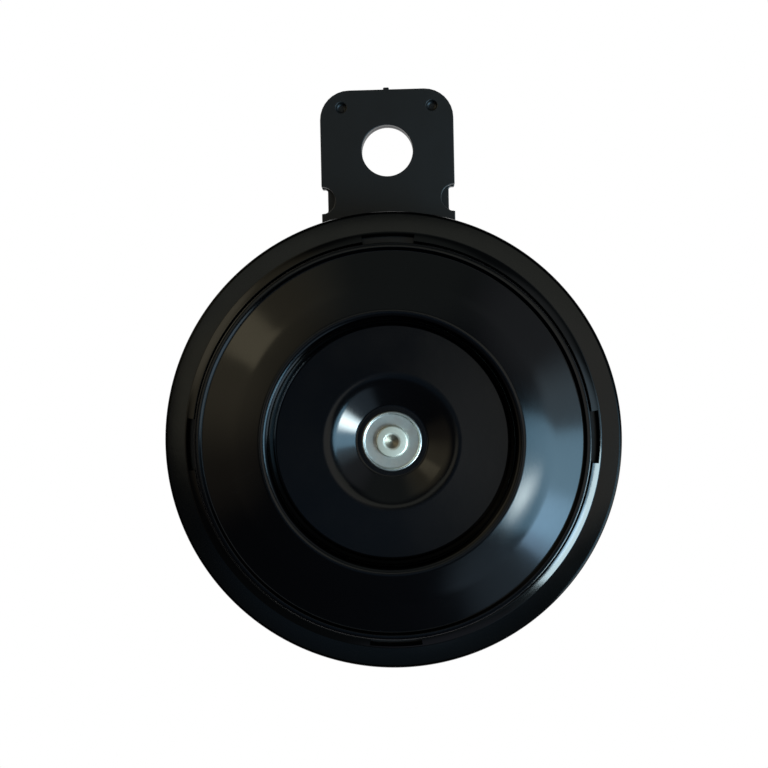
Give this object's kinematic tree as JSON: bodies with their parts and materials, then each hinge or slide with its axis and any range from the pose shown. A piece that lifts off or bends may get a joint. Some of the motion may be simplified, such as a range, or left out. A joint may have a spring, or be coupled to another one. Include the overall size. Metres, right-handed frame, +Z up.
{
  "type": "car horn",
  "caption": "Electric disc horn: pressed tone disc over a crimped notched ring and drawn housing, hung by its stud on a joggled two-leaf spring bracket with one bolt hole.",
  "frame": {"origin": "centre of the bracket's bolt hole on the tab's rear face", "axes": "+Z up along the bracket from the horn to the tab, -Y the way the horn faces, +Y the bolt hole's axis"},
  "size_m": [0.09, 0.0491, 0.1168],
  "materials": {
    "bracket_paint": "satin black paint over spring steel",
    "ring_paint": "satin black paint",
    "disc_paint": "gloss black paint",
    "housing_paint": "semi-gloss black paint",
    "zinc_plate": "bright zinc plating",
    "diaphragm_black": "thin satin black lacquer over spring steel",
    "spring_steel": "bare spring steel",
    "gasket_board": "pressed gasket board",
    "bobbin_plastic": "moulded bobbin plastic",
    "copper_wire": "enamelled copper wire",
    "insulator_board": "moulded insulating resin",
    "terminal_brass": "plain brass",
    "contact_metal": "contact metal"
  },
  "bodies": {
    "root": {"bracket_front_leaf": "bracket_paint", "bracket_rear_leaf": "bracket_paint", "clamp_ring": "ring_paint", "tone_disc": "disc_paint", "tone_disc_washer": "zinc_plate", "hub_spacer": "zinc_plate", "armature": "zinc_plate", "armature_washer": "zinc_plate", "diaphragm": "diaphragm_black", "front_gasket": "gasket_board", "rear_gasket": "gasket_board", "housing": "housing_paint", "fixed_core": "zinc_plate", "stud_lock_washer": "zinc_plate", "stud_nut": "zinc_plate", "coil_bobbin": "bobbin_plastic", "coil_winding": "copper_wire", "coil_retainer": "zinc_plate", "armature_collar": "bobbin_plastic", "breaker_lower_insulator": "insulator_board", "moving_contact_leaf": "spring_steel", "breaker_middle_insulator": "insulator_board", "fixed_contact_arm": "terminal_brass", "breaker_upper_insulator": "insulator_board", "moving_contact": "contact_metal", "fixed_contact": "contact_metal", "breaker_rivets": "zinc_plate", "contact_lead": "copper_wire", "adjusting_screw_nut": "zinc_plate", "adjusting_screw": "zinc_plate", "terminal_outer_block": "insulator_board", "terminal_inner_block": "insulator_board", "terminal_left": "terminal_brass", "terminal_right": "terminal_brass", "terminal_rivets": "terminal_brass"}
  },
  "joints": []
}
